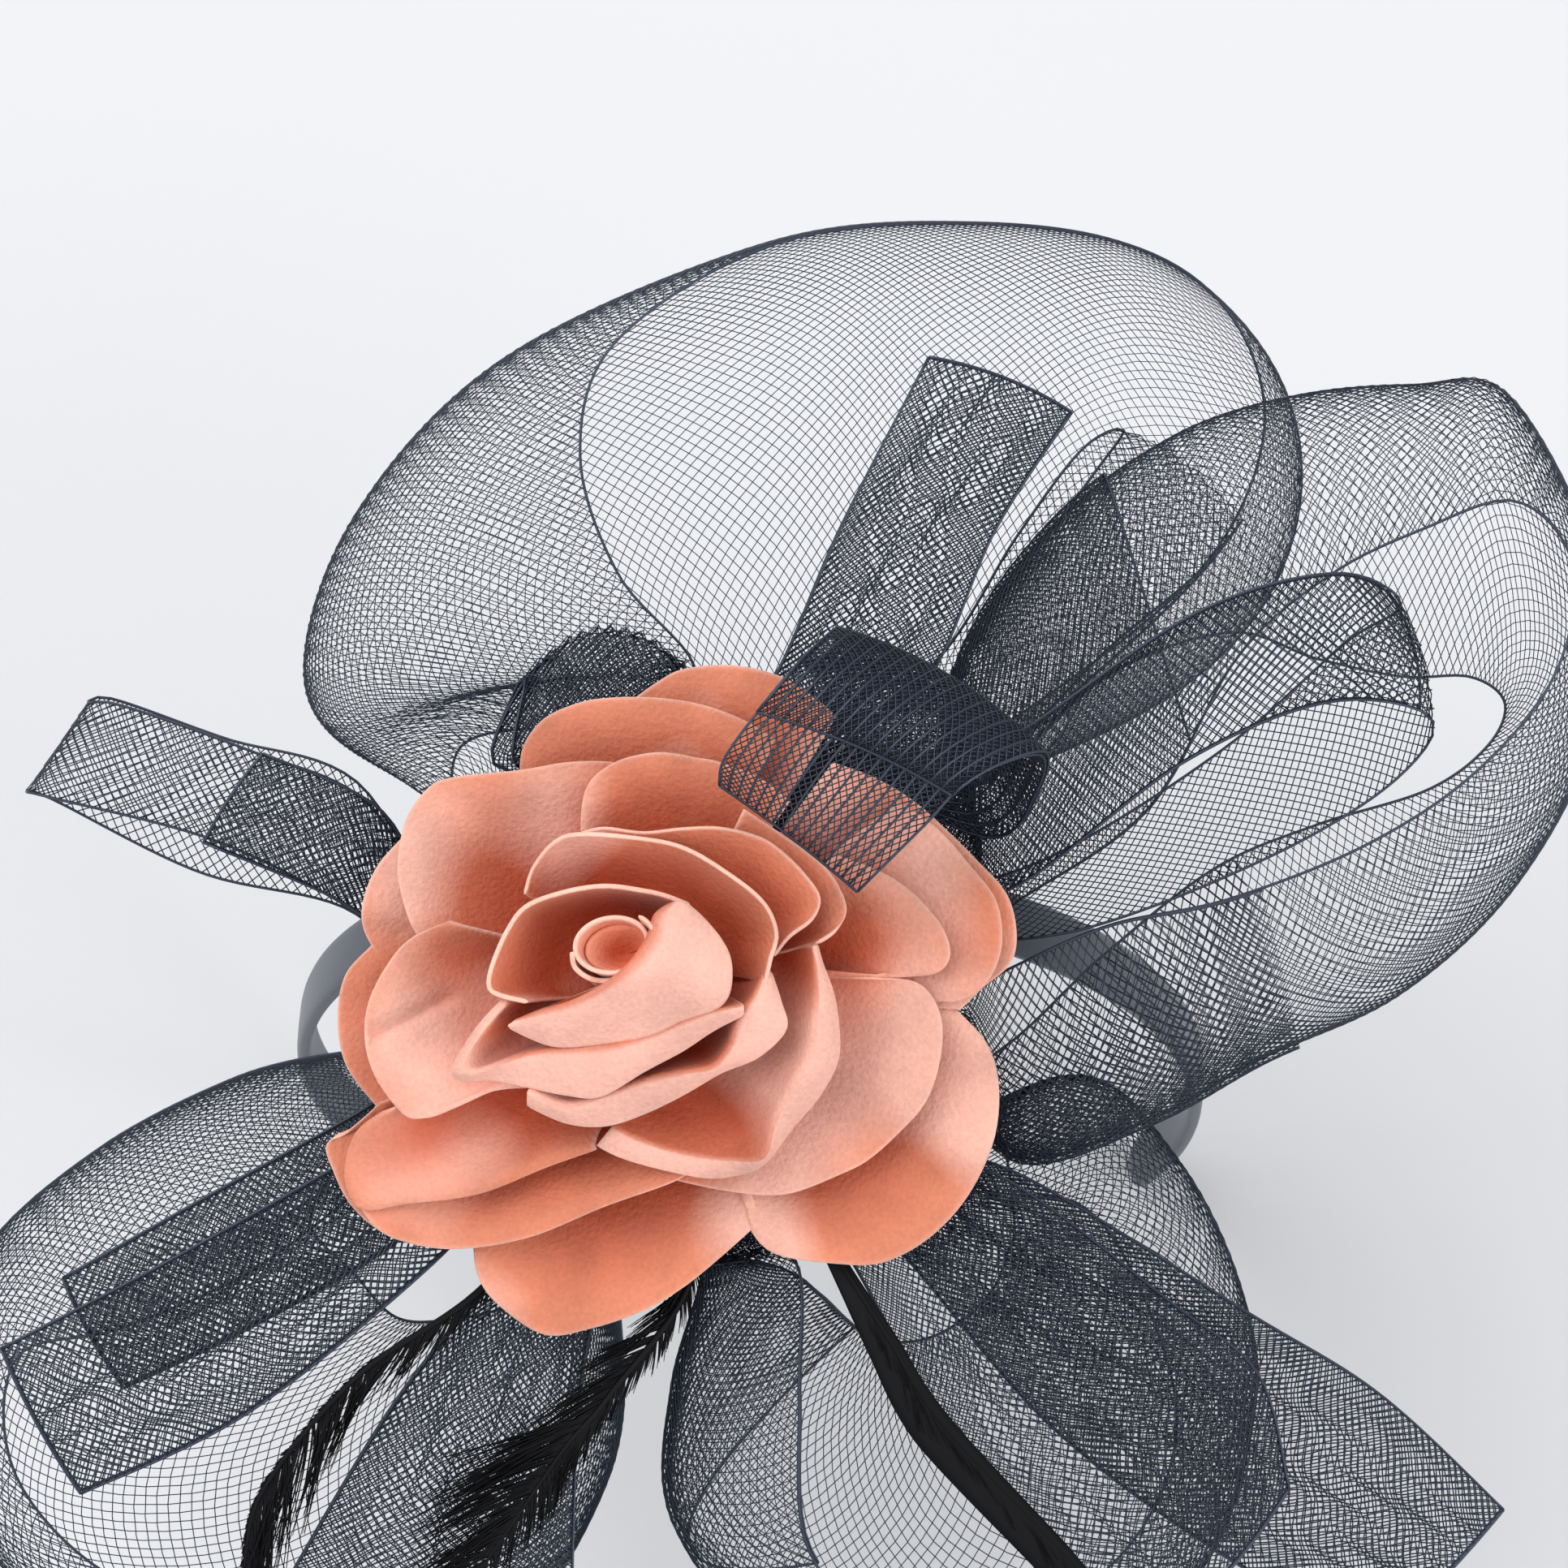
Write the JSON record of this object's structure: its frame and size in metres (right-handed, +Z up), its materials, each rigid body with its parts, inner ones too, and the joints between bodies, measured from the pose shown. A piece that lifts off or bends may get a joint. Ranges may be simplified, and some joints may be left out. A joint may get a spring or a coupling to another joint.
{
  "type": "rose and crin fascinator",
  "caption": "Headband fascinator: a coral fabric rose with black crin net loops and tails and three black feathers.",
  "frame": {"origin": "inside top of the headband's hoop, at the middle of its width", "axes": "+Z up out of the wearer's head, +X along the headband's hoop towards the picture's right, +Y towards the back of the head; the rose faces up and forwards"},
  "size_m": [0.2228, 0.1966, 0.1775],
  "materials": {
    "crin_net": "open horsehair-type net with a slight sheen",
    "rose_fabric": "matt crepe satin with heat-sealed edges",
    "feather": "black feather barbs, slight sheen",
    "satin": "satin ribbon"
  },
  "bodies": {
    "root": {"headband": "satin", "base_disc": "satin", "crin_halo": "crin_net", "crin_back_loop": "crin_net", "crin_small_loop": "crin_net", "crin_left_loop": "crin_net", "crin_left_tail": "crin_net", "crin_right_loop": "crin_net", "crin_inner_loop": "crin_net", "crin_lower_left_loop": "crin_net", "crin_bottom_loop": "crin_net", "crin_top_curl": "crin_net", "crin_tail_top": "crin_net", "crin_tail_lower_right": "crin_net", "crin_tail_far_right": "crin_net", "crin_tail_upper_left": "crin_net", "crin_tail_lower_left": "crin_net", "crin_tail_bottom": "crin_net", "rose_core": "rose_fabric", "rose_coil": "rose_fabric", "rose_petal_01": "rose_fabric", "rose_petal_02": "rose_fabric", "rose_petal_03": "rose_fabric", "rose_petal_04": "rose_fabric", "rose_petal_05": "rose_fabric", "rose_petal_06": "rose_fabric", "rose_petal_07": "rose_fabric", "rose_petal_08": "rose_fabric", "rose_petal_09": "rose_fabric", "rose_petal_10": "rose_fabric", "rose_petal_11": "rose_fabric", "rose_petal_12": "rose_fabric", "rose_petal_13": "rose_fabric", "rose_petal_14": "rose_fabric", "rose_petal_15": "rose_fabric", "rose_petal_16": "rose_fabric", "rose_petal_17": "rose_fabric", "rose_petal_18": "rose_fabric", "rose_petal_19": "rose_fabric", "rose_petal_20": "rose_fabric", "rose_petal_21": "rose_fabric", "rose_petal_22": "rose_fabric", "rose_petal_23": "rose_fabric", "rose_petal_24": "rose_fabric", "rose_petal_25": "rose_fabric", "feather_left": "feather", "feather_middle": "feather", "feather_right": "feather"}
  },
  "joints": []
}
